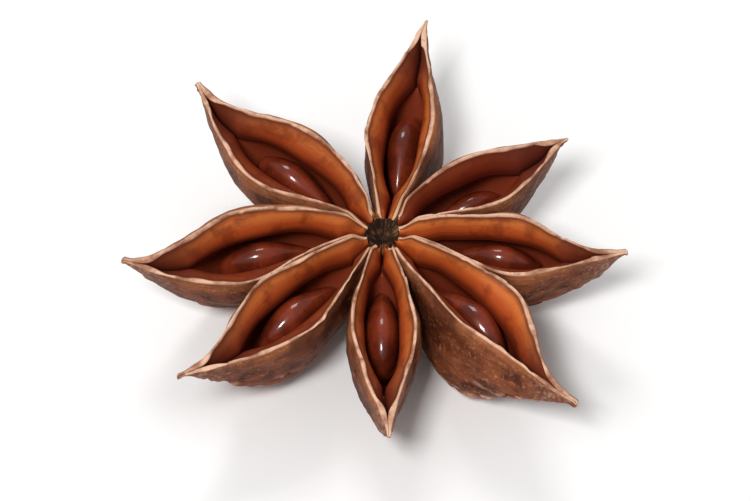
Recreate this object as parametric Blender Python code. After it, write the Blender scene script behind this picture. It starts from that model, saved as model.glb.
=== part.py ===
"""Star anise pod: eight boat-shaped carpels grown round one column, each split open over its seed.

The fruit lies as it does on a table, seeds up, on the keels of its carpels. Sizes are in millimetres and
angles in degrees until a mesh is made, which is in metres, +Z up. The origin is on the table, under the
middle of the pod's box.
"""

import math
from collections import namedtuple

import bmesh
import bpy
from mathutils import Matrix, Vector

MM = 0.001

# ---- The whole pod ----
COLUMN_TOP = 7.1  # top of the column that the carpels grow from, above the table
COLUMN_RADIUS = 1.5
UNDERSIDE = 1.5  # height of the column's lower end, where the stalk was
STALK_RADIUS = 0.85
STALK_END = 0.7  # height of the broken stalk's end
FUSED_RADIUS = 4.8  # neighbours are grown together out to here
FUSED_DEPTH = 0.05  # how far they reach into each other, for each mm inside that radius
PRESSED_FLAT = 8  # the higher, the flatter neighbours press against each other
COLUMN_PROFILE = (  # (radius, height) from the stalk's broken end up to the pit in the top
    (0.5, STALK_END),
    (STALK_RADIUS, STALK_END + 0.2),
    (0.75, UNDERSIDE - 0.3),
    (1.4, UNDERSIDE),
    (COLUMN_RADIUS, UNDERSIDE + 0.8),
    (COLUMN_RADIUS, COLUMN_TOP - 0.6),
    (1.05, COLUMN_TOP),
    (0.4, COLUMN_TOP - 0.7),
)

# ---- A carpel: shares are of its length, from the pod's axis to its tip ----
ROOT = 1.3  # distance from the axis at which a carpel starts, inside the column
WIDEST_AT = 0.46
WIDTH_SWELL = 1.2  # how slowly the width grows from the column
RIM_HEIGHT = 8.0  # rims at the column, above the table
RISE_FROM = 0.7  # the tip starts to lift here
RIM_WIDTH = 0.32
LEAST_FACE = 0.35  # share of the half width that always stays open inside a rim
BEAK_HALF_WIDTH = 0.3
BEAK_DEPTH = 0.75
BEAK_DROOP = 0.08  # the point is this far below the middle of the beak's end
ROOT_DEPTH = 5.6
BELLY_DEPTH = 8.5
BELLY_AT = 0.5
BELLY_SWELL = 1.3
WALL_WIDEST = 0.13  # share of the depth at which the wall is widest
RIM_LEAN_IN = 28  # angle round the flank from its widest point up to the rim
KEEL_SHARPNESS = 0.95  # 1 is an oval belly, more is a sharper keel, less is a fuller one
SWAY_POWER = 2.2  # a carpel leaves the column straight, and turns aside more and more
BOW_POWER = 4  # the bow comes late, in the outer half
LEAN_FROM, LEAN_TO = 0.15, 0.5  # where it starts to tip over, and where it has done so
LEAN_PIVOT = 0.33  # share of the depth about which it tips

# ---- The split: a smooth face slopes down from each rim to the seed's chamber ----
FACE_DROP = 2.1  # from the rim to the chamber's mouth
FACE_FULL_DEPTH = 4.6  # the face gets that deep only in a carpel this deep
FACE_BULGE = 0.34  # share of its width by which the face is rounded
GROOVE_FADES_FROM = 0.88  # out here the split starts to run out towards the beak
GROOVE_FADE = 0.8
CHAMBER_HALF_WIDTH = 1.9
CHAMBER_DEPTH = 4.2
CHAMBER_MOUTH = 140  # angle round the chamber from its floor up to its mouth
CHAMBER_START = 0.17
CHAMBER_END = 0.76
CHAMBER_SWELL = 0.6  # how quickly it opens from the column, and closes towards the beak
CHAMBER_TAPER = 0.7
CHAMBER_WALL = 0.78  # its half width stays under this share of the carpel's
SLIT_HALF_WIDTH = 0.12  # bottom of the split, past the chamber's ends
SLIT_DEPTH = 0.12  # share of the drop by which the slit lies below the face
SLIT_SHARE = 0.6  # the slit stays under this share of the gap between the rims

# ---- A seed: an oval bean on edge, narrower at the end next to the column ----
SEED_LENGTH = 7.0
SEED_THICKNESS = 2.6
SEED_HEIGHT = 4.8
SEED_BLUNT_END = 0.65  # width and height of the narrow end, as a share of an even oval's
SEED_FULL_FROM = 0.3  # where it has its full width, from -1 at the narrow end to 1
SEED_FITS_LENGTH = 18.5  # a seed has those sizes in a carpel this long, and grows with it
SEED_GAP = 0.4  # between a seed's middle and the chamber's floor, which rises towards its ends

# ---- Fineness of the meshes ----
STATIONS = 17
FLANK_STEPS = 5
FACE_STEPS = 2
CHAMBER_STEPS = 3
COLUMN_SIDES = 16
SEED_SIDES = 12
SEED_RINGS = 8
SHARP_EDGE = 40  # edges bent more than this are shown sharp

# Each carpel as it grew. heading is its direction round the pod, and length runs from the axis to the tip.
# sway turns the tip sideways, bow bends the outer half aside and back by so many mm, lean tips the whole boat
# over, and breadth is half its greatest width. beak is over 1 where the width runs out hollow into a thin beak,
# and keel where the underside curves up early to it. hump raises the middle of its rims, rise lifts the tip,
# foot is the height of its keel above the table, and seed says how far out the seed lies.
Carpel = namedtuple("Carpel", "heading length sway bow lean breadth beak keel hump rise foot seed")
CARPELS = (
    Carpel(79, length=18.0, sway=0.5, bow=0, lean=-9, breadth=2.75, beak=1.8, keel=0.9,
           hump=0.6, rise=0.5, foot=0, seed=0.45),
    Carpel(27.5, length=14.7, sway=1, bow=0, lean=5, breadth=2.7, beak=1.3, keel=0.9,
           hump=0.5, rise=0.7, foot=0.2, seed=0.46),
    Carpel(-12, length=17.2, sway=3.5, bow=-0.4, lean=8, breadth=3, beak=2.2, keel=0.85,
           hump=0.5, rise=0.2, foot=0.3, seed=0.465),
    Carpel(-49, length=19.6, sway=1, bow=-0.5, lean=-12, breadth=3.3, beak=2.3, keel=1.6,
           hump=1, rise=-0.5, foot=0, seed=0.46),
    Carpel(-92, length=17.7, sway=3.5, bow=0, lean=-2, breadth=2.8, beak=1.6, keel=0.9,
           hump=0.7, rise=0.3, foot=0.3, seed=0.42),
    Carpel(-131.5, length=19, sway=-6, bow=0.5, lean=-6, breadth=3.2, beak=1.6, keel=1.2,
           hump=0.8, rise=0.2, foot=0, seed=0.45),
    Carpel(-172, length=18.4, sway=2, bow=0.7, lean=-15, breadth=3.3, beak=1.5, keel=0.9,
           hump=0.8, rise=0.3, foot=0.15, seed=0.45),
    Carpel(142, length=17.8, sway=-4, bow=0.5, lean=-9, breadth=3.2, beak=1.7, keel=0.9,
           hump=0.9, rise=0.6, foot=0.2, seed=0.46),
)


def mix(a, b, share):
    return a + (b - a) * share


def smooth_step(low, high, value):
    """0 below low, 1 above high, and an even S between them."""
    share = min(1.0, max(0.0, (value - low) / (high - low)))
    return share * share * (3 - 2 * share)


def leaf(share, peak, swell, taper):
    """Outline of a leaf from 0 at its root, through 1 at peak, to 0 at its tip: a sine out and a cosine
    back, each to a power. A taper over 1 draws the tip out into a beak."""
    if share < peak:
        return math.sin(math.pi / 2 * share / peak) ** swell
    return max(0.0, math.cos(math.pi / 2 * (share - peak) / (1 - peak))) ** taper


def half_width(carpel, share, gap):
    """Half width of a carpel on the side that faces a neighbour gap degrees away. It grows as a leaf does,
    and presses flat against the neighbour near the column."""
    free = mix(BEAK_HALF_WIDTH, carpel.breadth, leaf(share, WIDEST_AT, WIDTH_SWELL, carpel.beak))
    out = share * carpel.length
    room = out * math.tan(math.radians(gap / 2)) + FUSED_DEPTH * (FUSED_RADIUS - out)
    return (free**-PRESSED_FLAT + room**-PRESSED_FLAT) ** (-1 / PRESSED_FLAT)


def rim_height(carpel, share):
    lift = carpel.rise * smooth_step(RISE_FROM, 1, share)
    return RIM_HEIGHT + carpel.hump * math.sin(math.pi * share) + lift


def depth(carpel, share):
    """From the rims down to the keel, before the keel is set on the table."""
    end = ROOT_DEPTH if share < BELLY_AT else BEAK_DEPTH
    return mix(end, BELLY_DEPTH, leaf(share, BELLY_AT, BELLY_SWELL, carpel.keel))


def middle_line(carpel, share):
    """How far aside the carpel's middle lies: its sway grows to the tip, and its bow swells and comes back."""
    sway = carpel.length * math.tan(math.radians(carpel.sway)) * share**SWAY_POWER
    return sway + carpel.bow * math.sin(math.pi * share**BOW_POWER)


def flank(half, deep, step):
    """A point of the outer wall, as (y, z) from the rims' height, step running from 0 at the rim to 1 at the
    keel. The wall swells out below the rim, then runs in along a quarter of an oval."""
    angle = math.radians(mix(-RIM_LEAN_IN, 90, step))
    swell = WALL_WIDEST * deep
    if angle < 0:
        return half * math.cos(angle), -swell * (1 - math.sin(-angle) / math.sin(math.radians(RIM_LEAN_IN)))
    return half * max(0.0, math.cos(angle)) ** KEEL_SHARPNESS, -swell - (deep - swell) * math.sin(angle)


def chamber_size(share):
    """How far the chamber is open at this share of the length, from 0 past its ends to 1 in its middle. It
    widens gently from either end."""
    along = (share - CHAMBER_START) / (CHAMBER_END - CHAMBER_START)
    return smooth_step(0, 1, leaf(along, 0.5, CHAMBER_SWELL, CHAMBER_TAPER)) if 0 < along < 1 else 0.0


def opening(half, deep, share):
    """The inner wall on one side, as (y, z) points from the rims' height: from the rim's inner edge down a
    rounded face to the chamber's mouth, and round the chamber to its floor."""
    chamber = chamber_size(share)
    rim = max(half * math.cos(math.radians(RIM_LEAN_IN)) - RIM_WIDTH, LEAST_FACE * half)
    wide = mix(min(SLIT_HALF_WIDTH, SLIT_SHARE * rim), CHAMBER_HALF_WIDTH, chamber)
    wide = min(wide, CHAMBER_WALL * half)
    mouth_angle = math.radians(CHAMBER_MOUTH)
    mouth = wide * math.sin(mouth_angle)
    fade = 1 - GROOVE_FADE * smooth_step(GROOVE_FADES_FROM, 1, share)
    drop = FACE_DROP * min(1.0, deep / FACE_FULL_DEPTH) * fade
    floor = CHAMBER_DEPTH * chamber + SLIT_DEPTH * drop
    points = []
    for i in range(FACE_STEPS):
        step = i / FACE_STEPS
        bulge = FACE_BULGE * (rim - mouth) * math.sin(math.pi * step)
        points.append((mix(rim, mouth, step) - bulge, -drop * step))
    for i in range(CHAMBER_STEPS + 1):
        angle = mouth_angle * (1 - i / CHAMBER_STEPS)
        rounded = (1 - math.cos(angle)) / (1 - math.cos(mouth_angle))
        points.append((wide * math.sin(angle), -drop - floor * (1 - rounded)))
    return points


def section(carpel, share, gaps):
    """The closed outline across a carpel, as (y, z) points: down the left flank, under the keel, up the right
    flank, over the right rim, through the chamber, and up to the left rim."""
    deep = depth(carpel, share)
    left, right = (half_width(carpel, share, gap) for gap in gaps)
    steps = [i / FLANK_STEPS for i in range(FLANK_STEPS + 1)]
    outline = [flank(left, deep, step) for step in steps]
    outline += [(-y, z) for y, z in (flank(right, deep, step) for step in reversed(steps[:-1]))]
    outline += [(-y, z) for y, z in opening(right, deep, share)]
    outline += list(reversed(opening(left, deep, share)[:-1]))
    return outline


def carpel_rings(carpel, gaps):
    """The sections of a carpel along its length, as (x, y, z) rows in mm with the carpel along +X. It leans
    about a line inside it, its middle lies aside, and its keel is let down to its own foot."""
    rings = []
    for i in range(STATIONS):
        share = mix(ROOT / carpel.length, 1, i / (STATIONS - 1))
        tilt = math.radians(carpel.lean) * smooth_step(LEAN_FROM, LEAN_TO, share)
        pivot = -LEAN_PIVOT * depth(carpel, share)
        aside = middle_line(carpel, share)
        top = rim_height(carpel, share)
        ring = []
        for y, z in section(carpel, share, gaps):
            leant_y = y * math.cos(tilt) - (z - pivot) * math.sin(tilt)
            leant_z = y * math.sin(tilt) + (z - pivot) * math.cos(tilt) + pivot
            ring.append((share * carpel.length, leant_y + aside, top + leant_z))
        rings.append(ring)
    lowest = min(z for ring in rings for _, _, z in ring)
    reach = (RIM_HEIGHT - carpel.foot) / (RIM_HEIGHT - lowest)
    return [[(x, y, settled(z, reach)) for x, y, z in ring] for ring in rings]


def settled(z, reach):
    """Heights below the rims are stretched or shortened together, so that the keel stands where it should."""
    return z if z > RIM_HEIGHT else RIM_HEIGHT - (RIM_HEIGHT - z) * reach


def beak_point(rings):
    """The beak's point, just past the middle of the last section."""
    middle = sum((Vector(point) for point in rings[-1]), Vector()) / len(rings[-1])
    return middle + Vector((BEAK_HALF_WIDTH, 0, -BEAK_DROOP))


def lofted(name, rings, tip=None):
    """A closed mesh through rings of points that match one to one. The first end has a face over it, and so
    has the last, unless a tip is given that it runs out to."""
    shape = bmesh.new()
    rows = [[shape.verts.new(Vector(point) * MM) for point in ring] for ring in rings]
    around = len(rows[0])
    for inner, outer in zip(rows, rows[1:]):
        for i in range(around):
            j = (i + 1) % around
            shape.faces.new((inner[i], inner[j], outer[j], outer[i]))
    shape.faces.new(rows[0])
    if tip is None:
        shape.faces.new(rows[-1])
    else:
        apex = shape.verts.new(Vector(tip) * MM)
        for i in range(around):
            shape.faces.new((rows[-1][i], rows[-1][(i + 1) % around], apex))
    bmesh.ops.triangulate(shape, faces=[face for face in shape.faces if len(face.verts) > 4])
    bmesh.ops.recalc_face_normals(shape, faces=shape.faces)
    mesh = bpy.data.meshes.new(name)
    shape.to_mesh(mesh)
    shape.free()
    return mesh


def turned(name, profile, sides):
    """A closed mesh turned about Z from (radius, height) points that run from one end to the other."""
    rings = []
    for radius, height in profile:
        angles = [2 * math.pi * i / sides for i in range(sides)]
        rings.append([(radius * math.cos(a), radius * math.sin(a), height) for a in angles])
    return lofted(name, rings)


def material(name, colour, roughness):
    finish = bpy.data.materials.new(name)
    finish.use_nodes = True
    shader = finish.node_tree.nodes["Principled BSDF"]
    shader.inputs["Base Color"].default_value = (*colour, 1)
    shader.inputs["Roughness"].default_value = roughness
    shader.inputs["Metallic"].default_value = 0
    return finish


def new_object(name, mesh, parent, collection):
    thing = bpy.data.objects.new(name, mesh)
    thing.parent = parent
    collection.objects.link(thing)
    return thing


def shade(mesh, finish):
    mesh.materials.append(finish)
    mesh.shade_smooth()
    mesh.set_sharp_from_angle(angle=math.radians(SHARP_EDGE))


def neighbour_gaps(index):
    """Angles from a carpel to its neighbours on the left (anticlockwise) and on the right."""
    heading = CARPELS[index].heading
    before, after = CARPELS[index - 1].heading, CARPELS[(index + 1) % len(CARPELS)].heading
    return (before - heading) % 360, (heading - after) % 360


def make_pod(parent, finish):
    """The fruit is one piece: the column, with its stalk's stub, joined to the eight carpels."""
    carpels = bpy.data.collections.new("carpels")
    bpy.context.scene.collection.children.link(carpels)
    for i, carpel in enumerate(CARPELS):
        rings = carpel_rings(carpel, neighbour_gaps(i))
        mesh = lofted(f"carpel_{i + 1}", rings, beak_point(rings))
        shade(mesh, finish)
        helper = new_object(f"carpel_{i + 1}", mesh, parent, carpels)
        helper.rotation_euler.z = math.radians(carpel.heading)
        helper.hide_render = True
        helper.display_type = "WIRE"
    column = turned("pod", COLUMN_PROFILE, COLUMN_SIDES)
    shade(column, finish)
    pod = new_object("pod", column, parent, bpy.context.scene.collection)
    union = pod.modifiers.new("carpels", "BOOLEAN")
    union.operation = "UNION"
    union.operand_type = "COLLECTION"
    union.collection = carpels
    union.solver = "EXACT"
    return pod


def seed_mesh(name, size):
    """An oval bean, flat-sided, that narrows to a blunt end where it was attached."""
    shape = bmesh.new()
    bmesh.ops.create_uvsphere(shape, u_segments=SEED_SIDES, v_segments=SEED_RINGS, radius=1)
    half = Vector((SEED_THICKNESS, SEED_HEIGHT, SEED_LENGTH)) / 2 * size
    for vert in shape.verts:
        x, y, z = vert.co
        narrowing = mix(SEED_BLUNT_END, 1, smooth_step(-1, SEED_FULL_FROM, z))
        thin, tall, along = half.x * x * narrowing, half.y * y * narrowing, half.z * z
        vert.co = Vector((along, thin, tall)) * MM
    mesh = bpy.data.meshes.new(name)
    shape.to_mesh(mesh)
    shape.free()
    return mesh


def chamber_floor(carpel, gaps, out):
    """Middle of the chamber's floor at a distance out from the axis: its sideways place and its height."""
    rings = carpel_rings(carpel, gaps)
    floor = len(rings[0]) - FACE_STEPS - CHAMBER_STEPS - 1
    for inner, outer in zip(rings, rings[1:]):
        (x0, y0, z0), (x1, y1, z1) = inner[floor], outer[floor]
        if x0 <= out <= x1:
            share = (out - x0) / (x1 - x0)
            return mix(y0, y1, share), mix(z0, z1, share)
    raise ValueError("no chamber there")


def make_seed(index, parent, finish):
    """A seed on edge in its chamber, turned along the carpel's middle line and leant as the carpel is."""
    carpel = CARPELS[index]
    out = carpel.seed * carpel.length
    side, floor = chamber_floor(carpel, neighbour_gaps(index), out)
    size = carpel.length / SEED_FITS_LENGTH
    mesh = seed_mesh(f"seed_{index + 1}", size)
    shade(mesh, finish)
    seed = new_object(f"seed_{index + 1}", mesh, parent, bpy.context.scene.collection)
    lift = Vector((0, 0, SEED_GAP + SEED_HEIGHT * size / 2))
    lean = Matrix.Rotation(math.radians(carpel.lean), 4, "X")
    half_seed = SEED_LENGTH * size / 2 / carpel.length
    inner, outer = (middle_line(carpel, carpel.seed + step) for step in (-half_seed, half_seed))
    drift = math.atan2(outer - inner, 2 * half_seed * carpel.length)
    turn = Matrix.Rotation(drift, 4, "Z")
    place = Matrix.Translation((Vector((out, side, floor)) + lean @ lift) * MM)
    seed.matrix_basis = Matrix.Rotation(math.radians(carpel.heading), 4, "Z") @ place @ turn @ lean
    return seed


def centre_over_origin(axis, pod):
    """Moves the pod's axis sideways so that the origin is under the middle of its box."""
    bpy.context.view_layer.update()
    evaluated = pod.evaluated_get(bpy.context.evaluated_depsgraph_get())
    corners = [evaluated.matrix_world @ Vector(corner) for corner in evaluated.bound_box]
    for side in (0, 1):
        values = [corner[side] for corner in corners]
        axis.location[side] -= (min(values) + max(values)) / 2


def main():
    for thing in list(bpy.data.objects):
        bpy.data.objects.remove(thing)
    axis = new_object("pod_axis", None, None, bpy.context.scene.collection)
    husk = material("husk", (0.19, 0.075, 0.033), roughness=0.6)
    seed_coat = material("seed_coat", (0.09, 0.028, 0.015), roughness=0.2)
    pod = make_pod(axis, husk)
    for index in range(len(CARPELS)):
        make_seed(index, axis, seed_coat)
    centre_over_origin(axis, pod)


main()
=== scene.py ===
import math
from collections import namedtuple

import bpy
import numpy as np
from mathutils import Matrix, Vector


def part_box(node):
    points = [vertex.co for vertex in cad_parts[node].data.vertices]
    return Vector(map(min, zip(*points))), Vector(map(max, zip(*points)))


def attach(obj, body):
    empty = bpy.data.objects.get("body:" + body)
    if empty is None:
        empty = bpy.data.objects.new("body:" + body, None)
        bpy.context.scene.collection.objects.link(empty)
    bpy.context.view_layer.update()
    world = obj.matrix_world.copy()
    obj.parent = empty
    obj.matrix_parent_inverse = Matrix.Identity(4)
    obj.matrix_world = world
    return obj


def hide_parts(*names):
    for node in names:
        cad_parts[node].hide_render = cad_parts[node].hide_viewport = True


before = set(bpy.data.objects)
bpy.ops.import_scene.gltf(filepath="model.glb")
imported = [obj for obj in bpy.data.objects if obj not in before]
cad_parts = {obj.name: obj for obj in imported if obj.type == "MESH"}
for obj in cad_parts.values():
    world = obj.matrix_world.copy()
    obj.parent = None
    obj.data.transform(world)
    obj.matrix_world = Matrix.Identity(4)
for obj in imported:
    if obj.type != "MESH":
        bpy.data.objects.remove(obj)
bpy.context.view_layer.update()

# ---- Table, camera and light ----
# The pod lies on a pale matt table top. It is looked down on from in front, under a soft panel high up behind
# and a smaller, brighter one high up in front.

MM = 0.001
TABLE_SIZE = 3.0
TABLE_COLOUR = (0.86, 0.855, 0.85)
LOOKED_DOWN_ON = math.radians(55)
CAMERA_DISTANCE = 0.33
VIEW_WIDTH = 0.0535  # how much shows across the picture, at the pod
ROOM_LIGHT = 0.42

table = bpy.data.objects.new("table", bpy.data.meshes.new("table"))
half_table = TABLE_SIZE / 2
corners = [(x * half_table, y * half_table, 0) for x, y in ((-1, -1), (1, -1), (1, 1), (-1, 1))]
table.data.from_pydata(corners, [], [(0, 1, 2, 3)])
bpy.context.scene.collection.objects.link(table)
table_top = bpy.data.materials.new("table_top")
table_top.use_nodes = True
table_top.node_tree.nodes["Principled BSDF"].inputs["Base Color"].default_value = (*TABLE_COLOUR, 1)
table_top.node_tree.nodes["Principled BSDF"].inputs["Roughness"].default_value = 0.85
table.data.materials.append(table_top)

pod_low, pod_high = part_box("pod")
middle = (pod_low + pod_high) / 2
lens = bpy.data.cameras.new("camera")
lens.lens = lens.sensor_width * CAMERA_DISTANCE / VIEW_WIDTH
lens.clip_start = 0.01
camera = bpy.data.objects.new("camera", lens)
camera.location = middle + Vector((0, -math.cos(LOOKED_DOWN_ON), math.sin(LOOKED_DOWN_ON))) * CAMERA_DISTANCE
camera.rotation_euler = (math.pi / 2 - LOOKED_DOWN_ON, 0, 0)
bpy.context.scene.collection.objects.link(camera)
bpy.context.scene.camera = camera
bpy.context.scene.view_settings.view_transform = "Standard"


def panel(name, azimuth, elevation, distance, width, watts):
    """A square soft light that faces the pod. It stands at azimuth degrees round the pod, anticlockwise from
    the camera's side, and elevation degrees above the table."""
    round_pod, above = math.radians(azimuth), math.radians(elevation)
    towards = Vector((math.sin(round_pod) * math.cos(above), -math.cos(round_pod) * math.cos(above),
                      math.sin(above)))
    light = bpy.data.lights.new(name, "AREA")
    light.size = width
    light.energy = watts
    stand = bpy.data.objects.new(name, light)
    stand.location = middle + towards * distance
    stand.rotation_euler = towards.to_track_quat("Z", "Y").to_euler()
    bpy.context.scene.collection.objects.link(stand)


panel("back_panel", azimuth=190, elevation=50, distance=0.45, width=0.15, watts=0.6)
panel("front_panel", azimuth=-25, elevation=60, distance=0.45, width=0.1, watts=1.45)

room = bpy.data.worlds.new("room")
room.use_nodes = True
room.node_tree.nodes["Background"].inputs["Color"].default_value = (1, 1, 1, 1)
room.node_tree.nodes["Background"].inputs["Strength"].default_value = ROOM_LIGHT
bpy.context.scene.world = room

# ---- Carpels: their shape ----
# The fruit is eight boat-shaped carpels, grown in a ring round a column. Each is a woody husk, folded
# lengthways and split open along its top edges as it dried. It is one skin: a leathery wall outside, a smooth
# face inside the rim, and a hollow for the seed.

COLUMN_RADIUS = 1.5
FUSED_RADIUS = 4.8  # neighbours are grown together out to here
FUSED_DEPTH = 0.05  # how far they reach into each other, for each mm inside that radius
PRESSED_FLAT = 8
ROOT = 1.3  # a carpel starts this far from the axis, inside the column
WIDEST_AT = 0.46  # shares are of a carpel's length, from the axis to its tip
WIDTH_SWELL = 1.2
RIM_HEIGHT = 8.0
PIT_EDGE = 7.0  # the rims' inner ends dip to a little above this, round the pit
RISE_FROM = 0.7
RIM_WIDTH = 0.2
RIM_CREST = 0.09  # the rim is rounded up by this much
LEAST_FACE = 0.35
BEAK_HALF_WIDTH = 0.3
BEAK_DEPTH = 0.75
BEAK_DROOP = 0.08
POINTED_FROM = 0.93  # the last of the beak shrinks to a point
POINTED_BY = 0.45
RIMS_MEET_FROM, RIMS_MEET = 0.84, 0.95
ROOT_DEPTH = 5.6
BELLY_DEPTH = 8.5
BELLY_AT = 0.5
BELLY_SWELL = 1.3
WALL_WIDEST = 0.13
RIM_LEAN_IN = math.radians(28)
KEEL_SHARPNESS = 0.95
SWAY_POWER = 2.2
BOW_POWER = 4
LEAN_FROM, LEAN_TO = 0.15, 0.5
LEAN_PIVOT = 0.33
FACE_DROP = 2.1
FACE_FULL_DEPTH = 4.6
FACE_BULGE = 0.34
GROOVE_FADES_FROM = 0.88
GROOVE_FADE = 0.8
CHAMBER_HALF_WIDTH = 1.9
CHAMBER_DEPTH = 4.2
CHAMBER_MOUTH = math.radians(140)
CHAMBER_START = 0.17
CHAMBER_END = 0.76
CHAMBER_SWELL = 0.6
CHAMBER_TAPER = 0.7
CHAMBER_WALL = 0.78
SLIT_HALF_WIDTH = 0.12
SLIT_DEPTH = 0.12
SLIT_SHARE = 0.6

# heading is a carpel's direction and length runs from the axis to its tip. sway turns the tip sideways, bow
# bends the outer half aside and back by so many mm, lean tips the boat over, breadth is half its width, beak
# is over 1 where it runs out thin, and keel where the underside curves up early to the tip. hump raises the
# rims' middle, rise lifts the tip, foot is the keel's height, seed is how far out the seed lies, and the last
# pair is the painted light on the left and the right face, from 0 to 1: at 1 a face keeps its orange, below
# that it is given painted shade, a darker red, as a face turned from the light.
Carpel = namedtuple("Carpel", "heading length sway bow lean breadth beak keel hump rise foot seed warmth")
CARPELS = (
    Carpel(79, length=18.0, sway=0.5, bow=0, lean=-9, breadth=2.75, beak=1.8, keel=0.9,
           hump=0.6, rise=0.5, foot=0, seed=0.45, warmth=(0.6, 0.9)),
    Carpel(27.5, length=14.7, sway=1, bow=0, lean=5, breadth=2.7, beak=1.3, keel=0.9,
           hump=0.5, rise=0.7, foot=0.2, seed=0.46, warmth=(0, 0)),
    Carpel(-12, length=17.2, sway=3.5, bow=-0.4, lean=8, breadth=3, beak=2.2, keel=0.85,
           hump=0.5, rise=0.2, foot=0.3, seed=0.465, warmth=(1, 0.1)),
    Carpel(-49, length=19.6, sway=1, bow=-0.5, lean=-12, breadth=3.3, beak=2.3, keel=1.6,
           hump=1, rise=-0.5, foot=0, seed=0.46, warmth=(1, 0.1)),
    Carpel(-92, length=17.7, sway=3.5, bow=0, lean=-2, breadth=2.8, beak=1.6, keel=0.9,
           hump=0.7, rise=0.3, foot=0.3, seed=0.42, warmth=(0.8, 0.5)),
    Carpel(-131.5, length=19, sway=-6, bow=0.5, lean=-6, breadth=3.2, beak=1.6, keel=1.2,
           hump=0.8, rise=0.2, foot=0, seed=0.45, warmth=(0.1, 0.8)),
    Carpel(-172, length=18.4, sway=2, bow=0.7, lean=-15, breadth=3.3, beak=1.5, keel=0.9,
           hump=0.8, rise=0.3, foot=0.15, seed=0.45, warmth=(0.1, 0.9)),
    Carpel(142, length=17.8, sway=-4, bow=0.5, lean=-9, breadth=3.2, beak=1.7, keel=0.9,
           hump=0.9, rise=0.6, foot=0.2, seed=0.46, warmth=(0.1, 0.7)),
)

DENT, SMALL_DENT = 0.16, 0.06  # the most that drying moved the skin, in mm
WRINKLE, FINE_WRINKLE, RIPPLE = 0.06, 0.03, 0.02
CREASE = 0.5  # deepest crease in the crust of the keel
RIM_WAVES = (0.14, 0.1)  # aside, and up and down
RIM_RAG = 0.04
NICK = 0.7
FRAYED, DIP = 0.35, 0.8  # the rims' ends at the pit: raggedness, and share of their height that they lose
WARP = 0.16

STATIONS = 220  # along a carpel
TIP_STATIONS = 9
FLANK_STEPS = 64
RIM_STEPS = 5
FACE_STEPS = 18
CHAMBER_STEPS = 16


GRID_SCRAMBLE = np.array([73856093, 19349663, 83492791])  # large odd numbers, for the random bumps
SEED_SCRAMBLE, FIRST_SCRAMBLE, SECOND_SCRAMBLE = 6542989, 1274126177, 2246822519


def mix(a, b, share):
    return a + (b - a) * share


def smooth_step(low, high, value):
    """0 below low, 1 above high, and 3t² - 2t³ between them, where t is how far value has come."""
    share = np.clip((value - low) / (high - low), 0, 1)
    return share * share * (3 - 2 * share)


def points(x, y, z):
    """Joins coordinates of any shapes that fit together into one array of points."""
    return np.stack(np.broadcast_arrays(x, y, z), axis=-1)


def leaf(share, peak, swell, taper):
    """Outline of a leaf: sin(90° share / peak) ^ swell up to the peak, then down to the tip
    cos(90° (share - peak) / (1 - peak)) ^ taper."""
    rising = np.sin(np.pi / 2 * np.clip(share / peak, 0, 1)) ** swell
    falling = np.clip(np.cos(np.pi / 2 * np.clip((share - peak) / (1 - peak), 0, 1)), 0, 1) ** taper
    return np.where(share < peak, rising, falling)


def bumps(where, cell, seed):
    """Smooth random bumps from -1 to 1, about a cell apart. Each corner of a grid of cells has a value, made
    by scrambling its three whole numbers. A point mixes the values round it by 3t² - 2t³ along each axis."""
    place = where / np.asarray(cell, float)
    low = np.floor(place).astype(np.int64)
    share = place - low
    share = share * share * (3 - 2 * share)
    total = np.zeros(where.shape[:-1])
    for offset in np.ndindex(2, 2, 2):
        key = (low + offset) @ GRID_SCRAMBLE + seed * SEED_SCRAMBLE
        key = (key ^ (key >> 13)) * FIRST_SCRAMBLE & 0xFFFFFFFF
        key = (key ^ (key >> 15)) * SECOND_SCRAMBLE & 0xFFFFFFFF
        value = ((key ^ (key >> 16)) & 0xFFFF) / 32767.5 - 1
        total += value * np.prod(np.where(np.array(offset) == 1, share, 1 - share), axis=-1)
    return total


def half_width(carpel, share, gap):
    """Half width on the side that faces a neighbour gap degrees away: a leaf's, or the room that there is up
    to the middle between the two, whichever is less, with (a^-8 + b^-8)^(-1/8) as a soft minimum."""
    free = mix(BEAK_HALF_WIDTH, carpel.breadth, leaf(share, WIDEST_AT, WIDTH_SWELL, carpel.beak))
    out = share * carpel.length
    room = out * math.tan(math.radians(gap / 2)) + FUSED_DEPTH * (FUSED_RADIUS - out)
    return (free**-PRESSED_FLAT + room**-PRESSED_FLAT) ** (-1 / PRESSED_FLAT)


def depth(carpel, share):
    """Rim to keel: a leaf's outline between the depth at that end and the belly's depth."""
    end = np.where(share < BELLY_AT, ROOT_DEPTH, BEAK_DEPTH)
    return mix(end, BELLY_DEPTH, leaf(share, BELLY_AT, BELLY_SWELL, carpel.keel))


def middle_line(carpel, share):
    """How far aside a carpel's middle lies: length tan(sway) share^2.2 + bow sin(180° share^4)."""
    sway = carpel.length * math.tan(math.radians(carpel.sway)) * share**SWAY_POWER
    return sway + carpel.bow * np.sin(np.pi * share**BOW_POWER)


def flank(half, deep, step):
    """Outer wall as (y, z): from the rim it swells out by a cosine, then runs to the keel along a quarter of
    an oval, y = half cos^k a, z = -swell - (deep - swell) sin a. step is 0 at the rim and 1 at the keel."""
    angle = mix(-RIM_LEAN_IN, np.pi / 2, step)
    swell = WALL_WIDEST * deep
    above = -swell * (1 - np.sin(-angle) / math.sin(RIM_LEAN_IN))
    below = -swell - (deep - swell) * np.sin(angle)
    across = np.where(angle < 0, np.cos(angle), np.clip(np.cos(angle), 0, 1) ** KEEL_SHARPNESS)
    return half * across, np.where(angle < 0, above, below)


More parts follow.
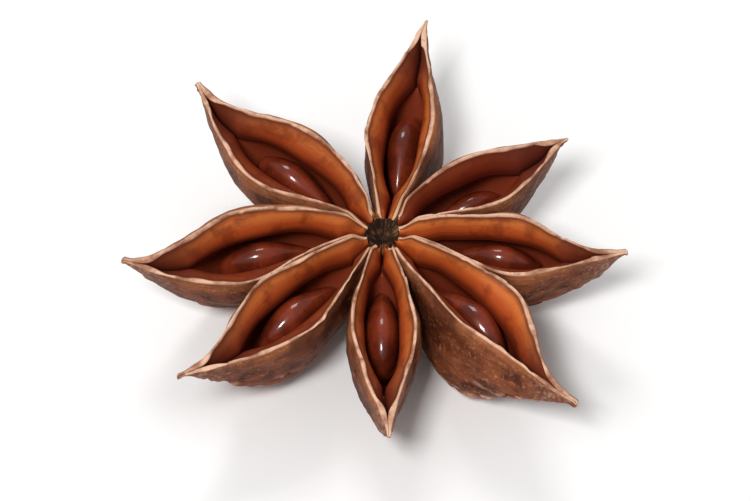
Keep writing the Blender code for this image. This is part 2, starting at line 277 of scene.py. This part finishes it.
def inner_edge(half, share):
    """Sideways place of the rim's inner edge: the rim is a little wider here and thinner there. Towards the
    beak the two rims close up."""
    parted = 1 - 0.9 * smooth_step(RIMS_MEET_FROM, RIMS_MEET, share)
    width = RIM_WIDTH * (1 + 0.5 * bumps(points(2 * half, 7 * share, 0), 1, 300))
    return np.maximum(half * math.cos(RIM_LEAN_IN) - width, LEAST_FACE * half) * parted


def rim(half, share, step):
    """Top of the rim as (y, z): a low arch, z = crest sin(180° step), from its outer to its inner edge."""
    outer = half * math.cos(RIM_LEAN_IN)
    crest = RIM_CREST * np.minimum(1, half)
    return mix(outer, inner_edge(half, share), step), crest * np.sin(np.pi * step)


def groove(half, deep, share):
    """Size of the split at a share of the length: its half width, the drop of its face, and the height of the
    chamber below the face."""
    along = (share - CHAMBER_START) / (CHAMBER_END - CHAMBER_START)
    hollow = np.where((along > 0) & (along < 1), leaf(along, 0.5, CHAMBER_SWELL, CHAMBER_TAPER), 0)
    opened = smooth_step(0, 1, hollow)
    slit = np.minimum(SLIT_HALF_WIDTH, SLIT_SHARE * inner_edge(half, share))
    wide = np.minimum(mix(slit, CHAMBER_HALF_WIDTH, opened), CHAMBER_WALL * half)
    fade = 1 - GROOVE_FADE * smooth_step(GROOVE_FADES_FROM, 1, share)
    drop = FACE_DROP * np.minimum(1, deep / FACE_FULL_DEPTH) * fade
    return wide, drop, CHAMBER_DEPTH * opened + SLIT_DEPTH * drop


def face(half, deep, share, step):
    """Smooth face inside the rim as (y, z): a slope from the rim's inner edge to the chamber's mouth, rounded
    inwards like a cushion by bulge times its width times sin(180° step)."""
    wide, drop, _ = groove(half, deep, share)
    edge, mouth = inner_edge(half, share), wide * math.sin(CHAMBER_MOUTH)
    bulge = FACE_BULGE * (edge - mouth) * np.sin(np.pi * step)
    return mix(edge, mouth, step) - bulge, -drop * step


def chamber(half, deep, share, step):
    """Seed's hollow as (y, z): a round arch from the mouth to the floor, y = wide sin a, its height stretched
    to fit."""
    wide, drop, floor = groove(half, deep, share)
    angle = CHAMBER_MOUTH * (1 - step)
    rounded = (1 - np.cos(angle)) / (1 - math.cos(CHAMBER_MOUTH))
    return wide * np.sin(angle), -drop - floor * (1 - rounded)


def side(carpel, share, gap):
    """One side of a carpel's skin as (y, z), from the rim's outer edge down to the keel, and from just inside
    that edge over the rim, down the face and through the chamber to its floor."""
    pointed = 1 - POINTED_BY * smooth_step(POINTED_FROM, 1, share)
    half, deep = half_width(carpel, share, gap) * pointed, depth(carpel, share) * pointed
    counts = (FLANK_STEPS, RIM_STEPS, FACE_STEPS, CHAMBER_STEPS)
    steps = [np.arange(count)[None, :] / count for count in counts]
    outside = np.stack(flank(half, deep, np.append(steps[0], 1)[None, :]), axis=-1)
    lip = np.stack(rim(half, share, steps[1][:, 1:]), axis=-1)
    slope = np.stack(face(half, deep, share, steps[2]), axis=-1)
    hollow = np.stack(chamber(half, deep, share, np.append(steps[3], 1)[None, :]), axis=-1)
    return outside, np.concatenate([lip, slope, hollow], axis=1)


def carpel_rings(carpel, gaps):
    """A carpel's skin along +X as an array of sections, each a ring of points in mm: down the left wall and
    up the right one, over the right rim into the chamber, and out over the left rim. The section leans about
    a point inside it, its middle lies aside, and the keel is let down to its foot."""
    share = np.linspace(ROOT / carpel.length, 1, STATIONS)[:, None]
    (left_wall, left_inside), (right_wall, right_inside) = (side(carpel, share, gap) for gap in gaps)
    mirror = np.array([-1, 1])
    ring = np.concatenate([left_wall, right_wall[:, -2::-1] * mirror, right_inside * mirror,
                           left_inside[:, -2::-1]], axis=1)
    tilt = math.radians(carpel.lean) * smooth_step(LEAN_FROM, LEAN_TO, share)
    pivot = -LEAN_PIVOT * depth(carpel, share)
    aside = middle_line(carpel, share)
    top = RIM_HEIGHT + carpel.hump * np.sin(np.pi * share) + carpel.rise * smooth_step(RISE_FROM, 1, share)
    y, z = ring[..., 0], ring[..., 1]
    rings = points(share * carpel.length,
                   y * np.cos(tilt) - (z - pivot) * np.sin(tilt) + aside,
                   y * np.sin(tilt) + (z - pivot) * np.cos(tilt) + pivot + top)
    height = rings[..., 2]
    reach = (RIM_HEIGHT - carpel.foot) / (RIM_HEIGHT - height.min())
    rings[..., 2] = np.where(height > RIM_HEIGHT, height, RIM_HEIGHT - (RIM_HEIGHT - height) * reach)
    return rings


def zones():
    """What each point round a section belongs to, as rows of numbers from 0 to 1: wall (0 at the rim, 1 at
    the keel), rim, face (0 at the rim, 1 at the mouth), inside, deep (0 at the mouth, 1 on the floor) and
    left."""
    wall = np.linspace(0, 1, FLANK_STEPS + 1)
    slope = np.arange(FACE_STEPS) / FACE_STEPS
    hollow = np.linspace(0, 1, CHAMBER_STEPS + 1)
    inside_count = RIM_STEPS - 1 + FACE_STEPS + CHAMBER_STEPS + 1
    lip_end = RIM_STEPS - 1
    rim_outside = 0.6 * np.exp(-(wall * FLANK_STEPS / 1.2) ** 2)
    rim_inside = 0.6 * np.exp(-(slope * FACE_STEPS / 0.7) ** 2)
    rows = {
        "wall": (wall, np.zeros(inside_count)),
        "rim": (rim_outside, np.concatenate([np.ones(lip_end), rim_inside, 0 * hollow])),
        "face": (0 * wall, np.concatenate([np.zeros(lip_end), slope, 0 * hollow + 1])),
        "inside": (0 * wall, np.concatenate([np.linspace(0, 1, lip_end), 0 * slope + 1, 0 * hollow + 1])),
        "deep": (0 * wall, np.concatenate([np.zeros(lip_end), 0 * slope, hollow])),
    }
    around = {name: np.concatenate([outer, outer[-2::-1], inner, inner[-2::-1]])
              for name, (outer, inner) in rows.items()}
    left_wall, left_inside = np.ones(FLANK_STEPS), np.ones(inside_count - 1)
    right_side = np.zeros(FLANK_STEPS + inside_count - 1)
    around["left"] = np.concatenate([left_wall, [0.5], right_side, [0.5], left_inside])
    return around


def outward(rings):
    """Unit normals of rings of points: the step along crossed with the step around."""
    along = np.gradient(rings, axis=0)
    around = np.roll(rings, -1, axis=1) - np.roll(rings, 1, axis=1)
    normal = np.cross(along, around)
    return normal / np.maximum(np.linalg.norm(normal, axis=2, keepdims=True), 1e-9)


def from_rim(rings):
    """How far each point is, along the skin, from the nearer rim: the least of its distances to both."""
    run = np.cumsum(np.linalg.norm(np.diff(rings, axis=1, prepend=rings[:, :1]), axis=2), axis=1)
    whole = run[:, -1:] + np.linalg.norm(rings[:, :1] - rings[:, -1:], axis=2)
    other = run[:, 2 * FLANK_STEPS:2 * FLANK_STEPS + 1]
    return np.minimum(np.minimum(run, whole - run), np.abs(run - other))


def weathered(rings, zone, number):
    """The skin as it dried, how high or low each point came to lie, and where the crust is, from 0 to 1. Each
    point moves along its normal by sums of bumps: broad dents and lengthways wrinkles on the wall, and faint
    ripples on the face. By the keel, sharp creases are cut between lumps, which are the square roots of the
    sizes of bumps. Then the rims wave, with a nick here and there, their ends at the column fray and dip into
    the pit, and the whole carpel warps a little."""
    x, y, z = rings[..., 0], rings[..., 1], rings[..., 2]
    wall = (1 - zone["inside"]) * (1 - zone["rim"])
    keel = smooth_step(0.55, 0.9, zone["wall"] + 0.25 * bumps(rings, (2.5, 1.2, 1.2), number + 10)) * wall
    grown = smooth_step(1.8, 4.5, x)
    off_table = smooth_step(-0.3, 0.9, z)
    dents = DENT * bumps(rings, 2.8, number) + SMALL_DENT * bumps(rings, 1.2, number + 15)
    wrinkles = WRINKLE * bumps(rings, (3.0, 0.5, 0.6), number + 20)
    wrinkles += FINE_WRINKLE * bumps(rings, (1.2, 0.22, 0.3), number + 30)
    large, small = (np.abs(bumps(rings, cell, number + 40)) for cell in ((1.1, 0.6, 0.6), (0.5, 0.3, 0.3)))
    lumps = large**0.5 * (0.65 + 0.45 * small**0.5)
    ripples = RIPPLE * bumps(rings, (3.5, 0.5, 0.5), number + 70) * zone["face"] * (1 - zone["deep"])
    leather = (dents + wrinkles) * wall * grown
    height = mix(leather, 0.4 * leather, keel) * off_table - CREASE * (1 - lumps) * keel + ripples * grown
    moved = rings + outward(rings) * height[..., None]
    lip = np.maximum(zone["rim"], zone["inside"] * (1 - zone["face"]) * 0.6) * grown
    edge = np.maximum(zone["rim"], zone["inside"] * (1 - zone["face"]) ** 8 * 0.6) * grown
    lengthways = points(x, np.sign(y) * 9, number)
    moved[..., 1] += lip * RIM_WAVES[0] * bumps(lengthways, 2.3, number + 80)
    moved[..., 2] += lip * RIM_WAVES[1] * bumps(lengthways, 1.7, number + 100)
    moved[..., 1] += edge * RIM_RAG * bumps(lengthways, 0.6, number + 90)
    moved[..., 2] += edge * RIM_RAG * bumps(lengthways, 0.45, number + 110)
    moved[..., 2] -= edge * NICK * np.clip(bumps(lengthways, 0.9, number + 95) - 0.5, 0, 1)
    at_column = 1 - smooth_step(ROOT, ROOT + 1.2, x)
    moved[..., 0] += at_column * FRAYED * bumps(rings * (0, 1, 1), 0.55, number + 130)
    moved[..., 2] -= at_column * DIP * np.maximum(moved[..., 2] - PIT_EDGE, 0)
    for across in range(2):
        moved[..., across] += WARP * grown * bumps(rings, 5.5, number + 120 + across)
    moved[..., 2] = np.maximum(moved[..., 2], 0)
    return moved, mix(0.5 + 2.5 * leather, lumps, keel), keel


def rounded_tip(rings):
    """Rings that close the beak over: the last section shrinks by cos a while it moves out by sin a."""
    last = rings[-1]
    centre = last.mean(axis=0)
    angle = np.linspace(0, np.pi / 2, TIP_STATIONS + 1)[1:-1, None, None]
    point = np.array([BEAK_HALF_WIDTH, 0, -BEAK_DROOP])
    return centre + (last - centre) * np.cos(angle) + point * np.sin(angle), centre + point


def closed_mesh(name, rings, start, end):
    """A mesh in metres over rings of points in mm: four-sided faces between rings, and a fan of triangles
    from each end ring to its end point, all facing out."""
    count, around = rings.shape[:2]
    vertices = np.concatenate([rings.reshape(-1, 3), [start, end]]) * MM
    here = np.arange(count * around).reshape(count, around)
    beside = np.roll(here, -1, axis=1)
    quads = np.stack([here[:-1], here[1:], beside[1:], beside[:-1]], axis=-1).reshape(-1, 4)
    first, last = count * around, count * around + 1
    fans = [np.stack([np.full(around, first), here[0], beside[0]], axis=-1),
            np.stack([np.full(around, last), beside[-1], here[-1]], axis=-1)]
    mesh = bpy.data.meshes.new(name)
    mesh.from_pydata(vertices, [], quads.tolist() + np.concatenate(fans).tolist())
    mesh.shade_smooth()
    return mesh


def store(mesh, name, values):
    """Keeps one number for each point of the rings on the mesh, and the ends' numbers after them."""
    flat = values.reshape(-1)
    around = values.shape[1]
    data = np.concatenate([flat, [flat[:around].mean(), flat[-around:].mean()]]).astype(np.float32)
    mesh.attributes.new(name, "FLOAT", "POINT").data.foreach_set("value", data)


def add_piece(name, mesh, material, slot, *nodes):
    """Links a piece that rides on the pod's body and stands for CAD nodes."""
    mesh.materials.append(material)
    piece = bpy.data.objects.new(name, mesh)
    bpy.context.scene.collection.objects.link(piece)
    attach(piece, "root")
    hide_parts(*nodes)
    return piece


# ---- Husk: its material ----
# Dried woody skin. The wall outside is mottled brown leather with pale crust on the keel, and painted shade
# in its dents. The split rim is pale raw fibre, painted lighter by the column. The face inside it is a smooth
# orange-brown horn with a line of painted shade under the rim; it darkens into the seed's hollow, partly by
# painted shade, and takes more painted shade towards the beak and where a face is turned from the light.

WALL_DARK, WALL_MIDDLE, WALL_LIGHT = (72, 30, 16), (132, 70, 40), (184, 120, 80)
CRUST_DARK, CRUST_BROWN, CRUST_LIGHT, CRUST_TAN = (66, 30, 22), (138, 84, 62), (208, 160, 136), (196, 148, 92)
RIM_BROWN, RIM_DARK, RIM_LIGHT, RIM_ROOT_PAINTED_LIGHT = (112, 66, 46), (154, 104, 78), (222, 178, 150), (212, 170, 134)
FACE_CREASE_SHADE, FACE_PALE, FACE_WARM, FACE_DEEP_AND_SHADE = (104, 50, 26), (196, 106, 50), (176, 76, 32), (104, 36, 16)
FACE_RED_AND_SHADE, FACE_END_SHADE = (98, 31, 18), (90, 38, 28)
HOLLOW = (132, 54, 32)
BEAK_BROWN, BEAK_GREY = (114, 64, 46), (164, 128, 104)


def colour(rgb):
    """A screen colour of three whole numbers up to 255 as a linear colour: ((c + 0.055) / 1.055) ^ 2.4."""
    share = np.array(rgb) / 255
    return (*np.where(share > 0.04045, ((share + 0.055) / 1.055) ** 2.4, share / 12.92), 1)


def add(tree, kind, inputs=(), **settings):
    """A node with its settings. inputs gives its sockets, by name or number, as values or other sockets."""
    made = tree.nodes.new(kind)
    for key, value in settings.items():
        setattr(made, key, value)
    for key, value in dict(inputs).items():
        if isinstance(value, bpy.types.NodeSocket):
            tree.links.new(value, made.inputs[key])
        else:
            made.inputs[key].default_value = value
    return made


def blended(tree, share, a, b):
    """Colour a where share is 0 and b where it is 1."""
    return add(tree, "ShaderNodeMix", {0: share, 6: a, 7: b}, data_type="RGBA").outputs[2]


def maths(tree, operation, a, b=0.0, clamp=False):
    return add(tree, "ShaderNodeMath", {0: a, 1: b}, operation=operation, use_clamp=clamp).outputs[0]


def between(tree, value, low, high, to_low=0.0, to_high=1.0):
    """value stretched so that low becomes to_low and high becomes to_high, held there beyond them."""
    made = add(tree, "ShaderNodeMapRange", {0: value, 1: low, 2: high, 3: to_low, 4: to_high},
               interpolation_type="SMOOTHSTEP")
    return made.outputs[0]


def stored(tree, name):
    return add(tree, "ShaderNodeAttribute", attribute_name=name).outputs["Fac"]


def noise(tree, place, scale, detail=4.0, roughness=0.55):
    """Cloudy values from 0 to 1, scale clouds to the metre."""
    values = {"Vector": place, "Scale": scale, "Detail": detail, "Roughness": roughness}
    return add(tree, "ShaderNodeTexNoise", values).outputs["Fac"]


def make_mottle():
    """Node group for dried plant skin: Broad and Fine clouds, and Fibres that run lengthways. Clouds sit on
    Object coordinates, fibres on how far along and around the piece a point is, in mm."""
    group = bpy.data.node_groups.new("mottle", "ShaderNodeTree")
    for name, default in (("Broad Size", 1.6), ("Fine Size", 0.35), ("Fibre Width", 0.16)):
        given_size = group.interface.new_socket(name, in_out="INPUT", socket_type="NodeSocketFloat")
        given_size.default_value = default
    for name in ("Broad", "Fine", "Fibres"):
        group.interface.new_socket(name, in_out="OUTPUT", socket_type="NodeSocketFloat")
    given = group.nodes.new("NodeGroupInput").outputs
    place = add(group, "ShaderNodeTexCoord").outputs["Object"]
    broad = noise(group, place, maths(group, "DIVIDE", 1000.0, given["Broad Size"]), detail=3)
    fine = noise(group, place, maths(group, "DIVIDE", 1000.0, given["Fine Size"]), detail=6, roughness=0.65)
    along = maths(group, "MULTIPLY", stored(group, "along"), 0.28)
    around = maths(group, "DIVIDE", stored(group, "around"), given["Fibre Width"])
    lengthways = add(group, "ShaderNodeCombineXYZ", {0: along, 1: around, 2: broad}).outputs[0]
    fibres = noise(group, lengthways, 1.0, detail=5, roughness=0.6)
    out = group.nodes.new("NodeGroupOutput")
    for name, value in (("Broad", broad), ("Fine", fine), ("Fibres", fibres)):
        group.links.new(value, out.inputs[name])
    return group


mottle = make_mottle()


def new_material(name):
    """A new material, its node tree, its Principled BSDF and a mottle group in the tree."""
    made = bpy.data.materials.new(name)
    made.use_nodes = True
    tree = made.node_tree
    group = tree.nodes.new("ShaderNodeGroup")
    group.node_tree = mottle
    return made, tree, tree.nodes["Principled BSDF"], group


def make_husk():
    made, tree, shader, spots = new_material("husk")
    broad, fine, fibres = (spots.outputs[name] for name in ("Broad", "Fine", "Fibres"))
    rim_here, inside, face_here, deep = (stored(tree, name) for name in ("rim", "inside", "face", "deep"))
    wall, share, warmth = (stored(tree, name) for name in ("wall", "share", "warmth"))
    crust, relief = stored(tree, "crust"), stored(tree, "relief")

    wall_tone = blended(tree, between(tree, broad, 0.34, 0.6), colour(WALL_DARK), colour(WALL_MIDDLE))
    wall_tone = blended(tree, between(tree, fine, 0.5, 0.75), wall_tone, colour(WALL_LIGHT))
    wall_tone = blended(tree, between(tree, wall, 0.0, 0.3, 0.4, 0.0), wall_tone, colour(WALL_LIGHT))
    # Dented parts of the wall are painted darker: painted shade in the dents and wrinkles.
    wall_tone = blended(tree, between(tree, relief, 0.2, 0.55, 0.7, 0.0), wall_tone, colour(WALL_DARK))
    wall_tone = blended(tree, between(tree, fibres, 0.35, 0.6, 0.4, 0.0), wall_tone, colour(WALL_DARK))
    raised = maths(tree, "ADD", relief, maths(tree, "MULTIPLY", fine, 0.5))
    ridge_tone = blended(tree, between(tree, share, 0.12, 0.3), colour(CRUST_TAN), colour(CRUST_LIGHT))
    ridge_tone = blended(tree, between(tree, broad, 0.45, 0.7), ridge_tone, colour(CRUST_BROWN))
    crust_tone = blended(tree, between(tree, raised, 0.5, 0.68), colour(CRUST_DARK), colour(CRUST_BROWN))
    crust_tone = blended(tree, between(tree, raised, 0.62, 1.0), crust_tone, ridge_tone)
    wall_tone = blended(tree, between(tree, crust, 0.15, 0.7), wall_tone, crust_tone)
    beak = between(tree, share, 0.8, 0.97)
    beak_tone = blended(tree, between(tree, fine, 0.42, 0.66), colour(BEAK_BROWN), colour(BEAK_GREY))
    wall_tone = blended(tree, beak, wall_tone, beak_tone)

    # Just inside the rim the face starts with a thin dark line: painted shade in the crease under the rim.
    face_tone = blended(tree, between(tree, face_here, 0.0, 0.16), colour(FACE_CREASE_SHADE), colour(FACE_PALE))
    # Then pale, warm, and deep red-brown at the chamber's mouth: partly the face's own colour and partly
    # painted shade where the face turns down into the hollow.
    face_tone = blended(tree, between(tree, face_here, 0.15, 0.45), face_tone, colour(FACE_WARM))
    face_tone = blended(tree, between(tree, face_here, 0.4, 0.9), face_tone, colour(FACE_DEEP_AND_SHADE))
    face_tone = blended(tree, between(tree, fibres, 0.45, 0.75, 0.0, 0.35), face_tone, colour(FACE_DEEP_AND_SHADE))
    # Broad darker red patches are the face's own colour; the same red is used below for painted shade.
    face_tone = blended(tree, between(tree, broad, 0.46, 0.66, 0.0, 0.5), face_tone, colour(FACE_RED_AND_SHADE))
    # Faces turned from the light are painted darker red: painted shade, set for each face on its carpel.
    painted_face_shade = maths(tree, "SUBTRACT", 1.0, warmth)
    face_tone = blended(tree, maths(tree, "MULTIPLY", painted_face_shade, 0.85), face_tone, colour(FACE_RED_AND_SHADE))
    # Towards the beak, where the split closes to a narrow groove, the faces are painted darker: painted
    # shade.
    face_tone = blended(tree, between(tree, share, 0.58, 0.86, 0.0, 0.85), face_tone, colour(FACE_END_SHADE))
    inner_tone = blended(tree, between(tree, deep, 0.0, 0.3), face_tone, colour(HOLLOW))

    rim_tone = blended(tree, between(tree, broad, 0.3, 0.62), colour(RIM_DARK), colour(RIM_LIGHT))
    rim_tone = blended(tree, between(tree, fine, 0.52, 0.75, 0.0, 0.6), rim_tone, colour(RIM_BROWN))
    # The rims' inner ends by the column are painted paler: painted light.
    rim_tone = blended(tree, between(tree, share, 0.09, 0.24, 0.8, 0.0), rim_tone, colour(RIM_ROOT_PAINTED_LIGHT))
    tone = blended(tree, between(tree, inside, 0.3, 0.7), wall_tone, inner_tone)
    worn = between(tree, broad, 0.25, 0.5, 0.7, 1.0)
    pale = maths(tree, "MULTIPLY", between(tree, rim_here, 0.25, 0.75), worn)
    tone = blended(tree, pale, tone, rim_tone)
    tree.links.new(tone, shader.inputs["Base Color"])

    dull = maths(tree, "SUBTRACT", 1.0, inside)
    rough = maths(tree, "ADD", between(tree, fine, 0.3, 0.7, 0.36, 0.5), maths(tree, "MULTIPLY", dull, 0.16))
    rough = maths(tree, "ADD", rough, maths(tree, "MULTIPLY", rim_here, 0.2), clamp=True)
    tree.links.new(rough, shader.inputs["Roughness"])
    shader.inputs["Specular IOR Level"].default_value = 0.12

    coarse = maths(tree, "MULTIPLY", fine, maths(tree, "ADD", maths(tree, "MULTIPLY", dull, 0.8), 0.12))
    lines = maths(tree, "MULTIPLY", fibres, 0.5)
    grain = add(tree, "ShaderNodeBump", {"Height": maths(tree, "ADD", coarse, lines), "Strength": 0.5,
                                         "Distance": 0.00008})
    tree.links.new(grain.outputs[0], shader.inputs["Normal"])
    return made


husk = make_husk()

# ---- Carpels: the pieces ----
# Each carpel is one piece, from inside the column out to its beak. The eight together, with the column, stand
# for the one grown fruit.


def neighbour_gaps(index):
    """Degrees from a carpel to its neighbours on the left (anticlockwise) and on the right."""
    heading = CARPELS[index].heading
    before, after = CARPELS[index - 1].heading, CARPELS[(index + 1) % len(CARPELS)].heading
    return (before - heading) % 360, (heading - after) % 360


def turned(where, heading):
    """Points turned about Z by heading degrees."""
    angle = math.radians(heading)
    cos, sin = math.cos(angle), math.sin(angle)
    return where @ np.array([[cos, sin, 0], [-sin, cos, 0], [0, 0, 1]])


GRAIN_APART = 40  # mm along the grain from one carpel's to the next one's, so that no two are alike

plain_rings = [carpel_rings(carpel, neighbour_gaps(index)) for index, carpel in enumerate(CARPELS)]
reached = np.concatenate([turned(rings, carpel.heading).reshape(-1, 3)
                          for rings, carpel in zip(plain_rings, CARPELS)])
axis = np.array([*(np.array(middle[:2]) / MM - (reached.min(axis=0) + reached.max(axis=0))[:2] / 2), 0])
zone = zones()

for index, carpel in enumerate(CARPELS):
    rings, relief, crust = weathered(plain_rings[index], zone, index)
    tip_rings, tip = rounded_tip(rings)
    rings = np.concatenate([rings, tip_rings])
    start = rings[0].mean(axis=0)
    mesh = closed_mesh(f"carpel_{index + 1}", turned(rings, carpel.heading) + axis,
                       turned(start, carpel.heading) + axis, turned(tip, carpel.heading) + axis)
    along = rings[..., 0]
    store(mesh, "along", along + GRAIN_APART * index)
    store(mesh, "around", from_rim(rings))
    store(mesh, "share", along / carpel.length)
    for name, values in (("relief", relief), ("crust", crust)):
        store(mesh, name, np.concatenate([values, np.repeat(values[-1:], len(tip_rings), axis=0)]))
    # How lit each face is painted, left and right: less than 1 gives it painted shade.
    left_face_light, right_face_light = carpel.warmth
    store(mesh, "warmth", mix(right_face_light, left_face_light, zone["left"]) + 0 * along)
    for name, row in zone.items():
        store(mesh, name, np.broadcast_to(row, along.shape))
    add_piece(f"carpel_{index + 1}", mesh, husk, "husk", "pod")

# ---- Column: the pit in the top and the stalk below ----
# The core that the carpels grew from. Its top is a small ragged pit between the rims, and its lower end
# carries the broken stub of the fruit's stalk. It is dry, fibrous wood, painted darker in the pit: partly
# its own colour, partly painted shade.

COLUMN_TOP = 7.1
UNDERSIDE = 1.5
STALK_RADIUS = 0.85
STALK_END = 0.7
COLUMN_PROFILE = np.array([  # (radius, height) from the middle of the stalk's broken end to the pit's floor
    (0.15, STALK_END + 0.15),
    (0.5, STALK_END),
    (STALK_RADIUS, STALK_END + 0.2),
    (0.75, UNDERSIDE - 0.3),
    (1.4, UNDERSIDE),
    (COLUMN_RADIUS, UNDERSIDE + 0.8),
    (COLUMN_RADIUS, COLUMN_TOP - 0.6),
    (1.15, COLUMN_TOP - 0.1),
    (0.75, COLUMN_TOP - 0.5),
    (0.2, COLUMN_TOP - 1.1),
])
DENTED, RIDGED = 0.12, 0.07  # shares of the radius
RAGGED = 0.07
COLUMN_SIDES = 96
COLUMN_RINGS = 110
CORE_DARK_AND_PIT_SHADE, CORE_LIGHT = (38, 22, 14), (172, 122, 80)


def make_column():
    """The profile spun round, r(s) and z(s) read evenly along it, with bumps that run up and down it."""
    run = np.concatenate([[0], np.cumsum(np.linalg.norm(np.diff(COLUMN_PROFILE, axis=0), axis=1))])
    along = np.linspace(0, run[-1], COLUMN_RINGS)
    radius, height = (np.interp(along, run, COLUMN_PROFILE[:, i])[:, None] for i in range(2))
    angle = np.linspace(0, 2 * np.pi, COLUMN_SIDES, endpoint=False)[None, :]
    circle = points(np.cos(angle) * 3, np.sin(angle) * 3, height * 0.4)
    radius = radius * (1 + DENTED * bumps(circle, 0.9, 7) + RIDGED * bumps(circle, 0.4, 8))
    rings = points(radius * np.cos(angle), radius * np.sin(angle), height)
    rings[..., 2] += RAGGED * bumps(rings, 0.45, 9)
    ends = [rings[0].mean(axis=0), rings[-1].mean(axis=0)]
    mesh = closed_mesh("column", rings[:, ::-1] + axis, ends[0] + axis, ends[1] + axis)
    store(mesh, "along", height + 0 * angle)
    store(mesh, "around", COLUMN_RADIUS * angle + 0 * height)
    return mesh


def make_core_wood():
    made, tree, shader, spots = new_material("core_wood")
    spots.inputs["Broad Size"].default_value = 0.8
    broad, fine, fibres = (spots.outputs[name] for name in ("Broad", "Fine", "Fibres"))
    # Darker at the top, in the pit: partly the wood's own colour and partly painted shade that makes the pit
    # read deep.
    below = between(tree, stored(tree, "along"), COLUMN_TOP - 2, UNDERSIDE, 0.0, 0.14)
    pale = maths(tree, "ADD", maths(tree, "MULTIPLY", fibres, 0.5), maths(tree, "MULTIPLY", broad, 0.5))
    tone = blended(tree, between(tree, maths(tree, "ADD", pale, below), 0.46, 0.75), colour(CORE_DARK_AND_PIT_SHADE),
                   colour(CORE_LIGHT))
    tree.links.new(tone, shader.inputs["Base Color"])
    tree.links.new(between(tree, fine, 0.3, 0.7, 0.65, 0.85), shader.inputs["Roughness"])
    shader.inputs["Specular IOR Level"].default_value = 0.12
    grain = add(tree, "ShaderNodeBump", {"Height": fibres, "Strength": 0.7, "Distance": 0.0001})
    tree.links.new(grain.outputs[0], shader.inputs["Normal"])
    return made


core_wood = make_core_wood()
add_piece("column", make_column(), core_wood, "husk", "pod")

# ---- Seeds ----
# One in each carpel, on edge: a flat-sided oval bean with a hard coat, smooth as glass. Its narrow end,
# towards the column, has the small pale scar where it was attached.

SEED_LENGTH = 7.3
SEED_THICKNESS = 2.95
SEED_HEIGHT = 5.1
SEED_BLUNT_END = 0.65
SEED_FULL_FROM = 0.3
SEED_FITS_LENGTH = 18.5
SEED_GAP = 0.3
SEED_DENT = 0.05
SEED_RINGS = 70
SEED_SIDES = 56
SEED_DARK, SEED_BROWN, SEED_RED, SEED_SCAR = (48, 14, 7), (84, 28, 13), (122, 46, 24), (176, 132, 100)


def chamber_floor(rings, out):
    """Middle of the chamber's floor at a distance out from the axis: its sideways place and height."""
    floor = rings.shape[1] - (CHAMBER_STEPS + FACE_STEPS + RIM_STEPS)
    line = rings[:, floor]
    return np.interp(out, line[:, 0], line[:, 1]), np.interp(out, line[:, 0], line[:, 2])


def make_seed(index):
    """An oval with x = a cos t, and a cross section of half sizes b sin t and c sin t, narrowed towards the
    column and faintly dented all over."""
    carpel = CARPELS[index]
    size = carpel.length / SEED_FITS_LENGTH
    polar = np.linspace(0, np.pi, SEED_RINGS + 2)[1:-1, None]
    angle = np.linspace(0, 2 * np.pi, SEED_SIDES, endpoint=False)[None, :]
    narrow = mix(SEED_BLUNT_END, 1, smooth_step(-1, SEED_FULL_FROM, -np.cos(polar)))
    swell = np.sin(polar) * narrow
    shape = points(-np.cos(polar) * SEED_LENGTH / 2,
                   swell * np.sin(angle) * SEED_THICKNESS / 2,
                   swell * np.cos(angle) * SEED_HEIGHT / 2) * size
    dents = SEED_DENT * bumps(shape, 2.2, index + 200)
    rings = shape + outward(shape) * dents[..., None]
    out = carpel.seed * carpel.length
    across, floor = chamber_floor(plain_rings[index], out)
    lean = Matrix.Rotation(math.radians(carpel.lean), 3, "X")
    half_seed = SEED_LENGTH * size / 2 / carpel.length
    inner, outer = (middle_line(carpel, carpel.seed + step) for step in (-half_seed, half_seed))
    drift = math.atan2(outer - inner, 2 * half_seed * carpel.length)
    turn = np.array(Matrix.Rotation(drift, 3, "Z") @ lean)
    lift = np.array(lean) @ (0, 0, SEED_GAP + SEED_HEIGHT * size / 2)
    place = np.array([out, across, floor]) + lift
    ends = np.array([[-SEED_LENGTH / 2, 0, 0], [SEED_LENGTH / 2, 0, 0]]) * size
    rings, ends = (turned(part @ turn.T + place, carpel.heading) + axis for part in (rings, ends))
    mesh = closed_mesh(f"seed_{index + 1}", rings, *ends)
    store(mesh, "along", shape[..., 0])
    store(mesh, "around", angle * 2 + 0 * polar + index * 20)
    store(mesh, "scar", smooth_step(0.955, 0.985, np.cos(polar)) + 0 * angle)
    return mesh


def make_seed_coat():
    made, tree, shader, spots = new_material("seed_coat")
    spots.inputs["Broad Size"].default_value = 2.4
    broad, fine = spots.outputs["Broad"], spots.outputs["Fine"]
    tone = blended(tree, between(tree, broad, 0.35, 0.65), colour(SEED_BROWN), colour(SEED_RED))
    tone = blended(tree, between(tree, fine, 0.5, 0.75, 0.0, 0.5), tone, colour(SEED_DARK))
    tone = blended(tree, stored(tree, "scar"), tone, colour(SEED_SCAR))
    tree.links.new(tone, shader.inputs["Base Color"])
    tree.links.new(between(tree, fine, 0.3, 0.7, 0.24, 0.36), shader.inputs["Roughness"])
    shader.inputs["Specular IOR Level"].default_value = 0.15
    shader.inputs["Coat Weight"].default_value = 0.62
    shader.inputs["Coat Roughness"].default_value = 0.08
    grain = add(tree, "ShaderNodeBump", {"Height": fine, "Strength": 0.12, "Distance": 0.00004})
    tree.links.new(grain.outputs[0], shader.inputs["Normal"])
    return made


seed_coat = make_seed_coat()
for index in range(len(CARPELS)):
    add_piece(f"seed_{index + 1}_coat", make_seed(index), seed_coat, "seed_coat", f"seed_{index + 1}")
